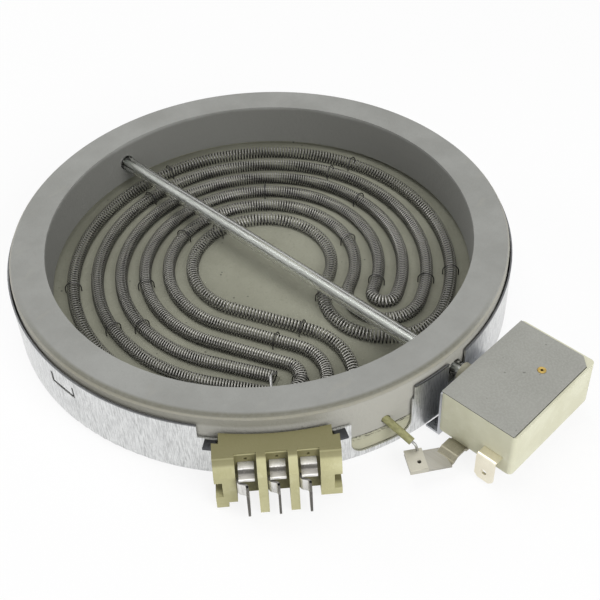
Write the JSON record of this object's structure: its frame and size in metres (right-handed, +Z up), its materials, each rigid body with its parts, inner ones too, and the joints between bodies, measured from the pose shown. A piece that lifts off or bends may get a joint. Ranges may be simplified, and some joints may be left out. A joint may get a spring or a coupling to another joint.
{
  "type": "radiant hob heater",
  "caption": "Round under-glass radiant heater: sheet-metal dish, fibre ring, meandering resistance coil, terminal block and a rod-type temperature limiter across it.",
  "frame": {"origin": "centre of the dish's underside", "axes": "+Z up through the open face, +X along the limiter's tube towards its switch box"},
  "size_m": [0.1977, 0.1672, 0.025],
  "materials": {
    "dish_sheet": "bright brushed coated sheet",
    "fibre_base": "matt pressed insulation powder",
    "fibre_ring": "matt pressed fibre",
    "resistance_wire": "dark oxidised wire",
    "staple_wire": "dark wire",
    "lead_wire": "dull wire",
    "sleeve_fibre": "matt woven sleeve",
    "block_ceramic": "matt unglazed",
    "tinned_terminal": "bright tinned",
    "quartz": "clear polished",
    "rod_steel": "satin",
    "pin_ceramic": "matt",
    "housing_ceramic": "matt unglazed",
    "cover_ceramic": "matt, left bare",
    "eyelet_brass": "dull",
    "bracket_steel": "bright brushed",
    "tab_brass": "pale, tinned",
    "strap_steel": "matt",
    "contact_metal": "dull",
    "contact_silver": "satin"
  },
  "bodies": {
    "heater": {"support_dish": "dish_sheet", "insulation_base": "fibre_base", "insulation_ring": "fibre_ring", "heating_coil": "resistance_wire", "coil_end_turns": "resistance_wire", "coil_staples": "staple_wire", "connector_lead": "lead_wire", "limiter_lead": "lead_wire", "lead_sleeve": "sleeve_fibre", "connector_block": "block_ceramic", "terminal_left": "tinned_terminal", "terminal_middle": "tinned_terminal", "terminal_right": "tinned_terminal", "limiter_tube": "quartz", "rod_end_washer": "rod_steel", "rod_end_nut": "rod_steel", "limiter_housing": "housing_ceramic", "limiter_cover": "cover_ceramic", "cover_eyelet": "eyelet_brass", "limiter_bracket": "bracket_steel", "limiter_tab": "tab_brass", "limiter_strap": "strap_steel", "strap_clip": "strap_steel", "arm_post": "contact_metal", "fixed_contact": "contact_silver", "fixed_contact_strip": "contact_metal"},
    "sensor_rod": {"expansion_rod": "rod_steel", "transfer_pin": "pin_ceramic"},
    "switch_arm": {"contact_arm": "contact_metal", "moving_contact": "contact_silver"}
  },
  "joints": [
    {"name": "rod_expansion", "type": "slide", "parent": "heater", "child": "sensor_rod", "axis": [1, 0, 0], "range_m": [0, 0.0008], "stiffness_N_per_m": 500},
    {"name": "contact_opening", "type": "hinge", "parent": "heater", "child": "switch_arm", "pos_m": [0.09615, -0.0085, 0.016], "axis": [0, 0, 1], "range_deg": [-8.5, 0]}
  ],
  "couplings": [
    {"joint": "contact_opening", "follows": "rod_expansion", "rad_per_m": -117.65}
  ]
}
